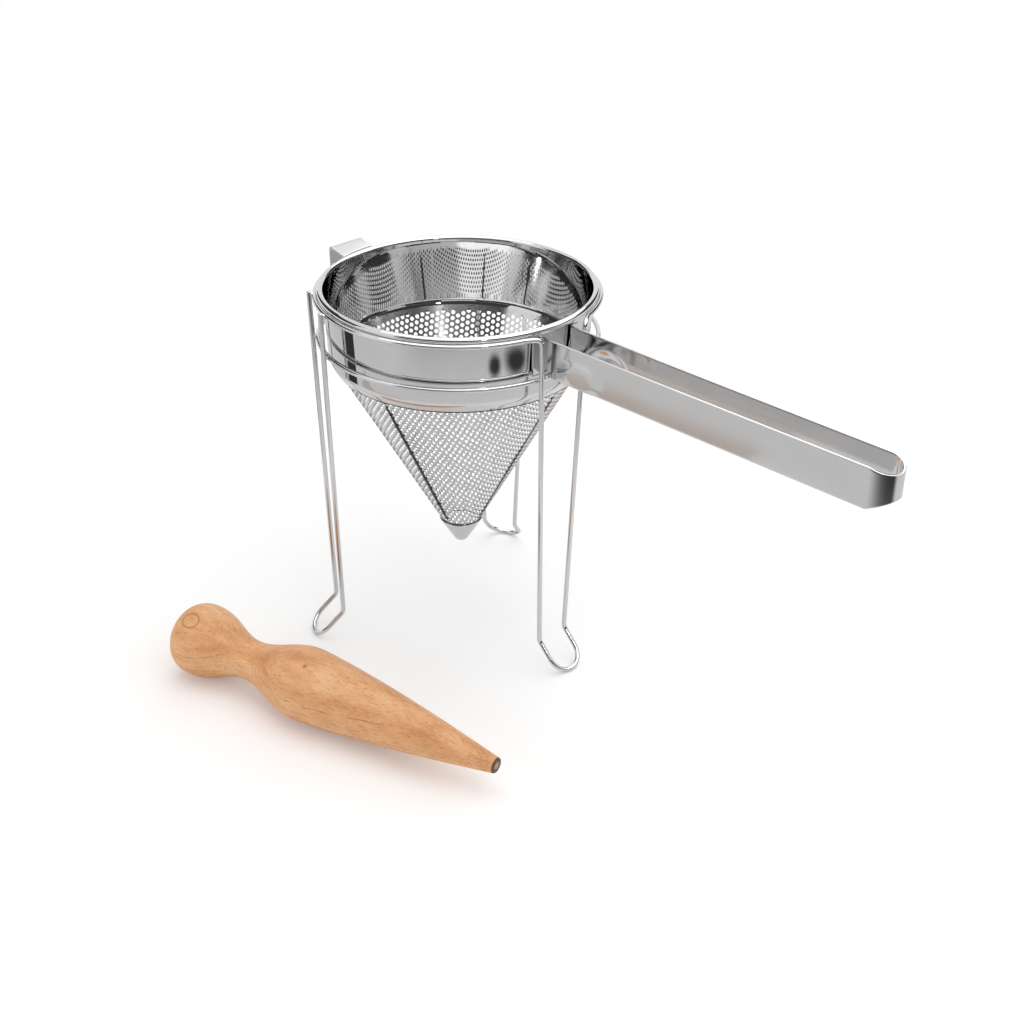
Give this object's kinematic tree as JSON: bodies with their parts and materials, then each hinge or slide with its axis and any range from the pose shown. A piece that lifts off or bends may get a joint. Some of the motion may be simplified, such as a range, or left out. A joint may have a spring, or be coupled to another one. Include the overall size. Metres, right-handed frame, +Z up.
{
  "type": "food press",
  "caption": "Conical food press: a perforated steel cone with a plain collar, hairpin handle and pot hook, seated in a wire stand on legs, with a turned wooden pestle lying beside it.",
  "frame": {"origin": "on the table, below the middle of the box around the whole set", "axes": "+X along the handle, away from the cone; +Z up"},
  "size_m": [0.432, 0.2972, 0.2508],
  "materials": {
    "polished_steel": "mirror polished stainless steel",
    "perforated_steel": "bright perforated stainless sheet",
    "handle_steel": "polished stainless strip",
    "chromed_wire": "bright plated wire",
    "beech": "satin turned beech"
  },
  "bodies": {
    "stand": {"upper_ring_with_front_leg": "chromed_wire", "lower_ring": "chromed_wire", "left_leg": "chromed_wire", "rear_leg": "chromed_wire"},
    "sieve": {"collar": "polished_steel", "rim_wire": "polished_steel", "perforated_cone": "perforated_steel", "cone_tip_cap": "polished_steel", "handle": "handle_steel", "pot_hook": "handle_steel"},
    "pestle": {"pestle": "beech"}
  },
  "joints": [
    {"name": "sieve_lift", "type": "slide", "parent": "stand", "child": "sieve", "axis": [0, 0, 1], "range_m": [0, 0.2]},
    {"name": "pestle_lift", "type": "slide", "parent": "stand", "child": "pestle", "axis": [0, 0, 1], "range_m": [0, 0.15]}
  ]
}
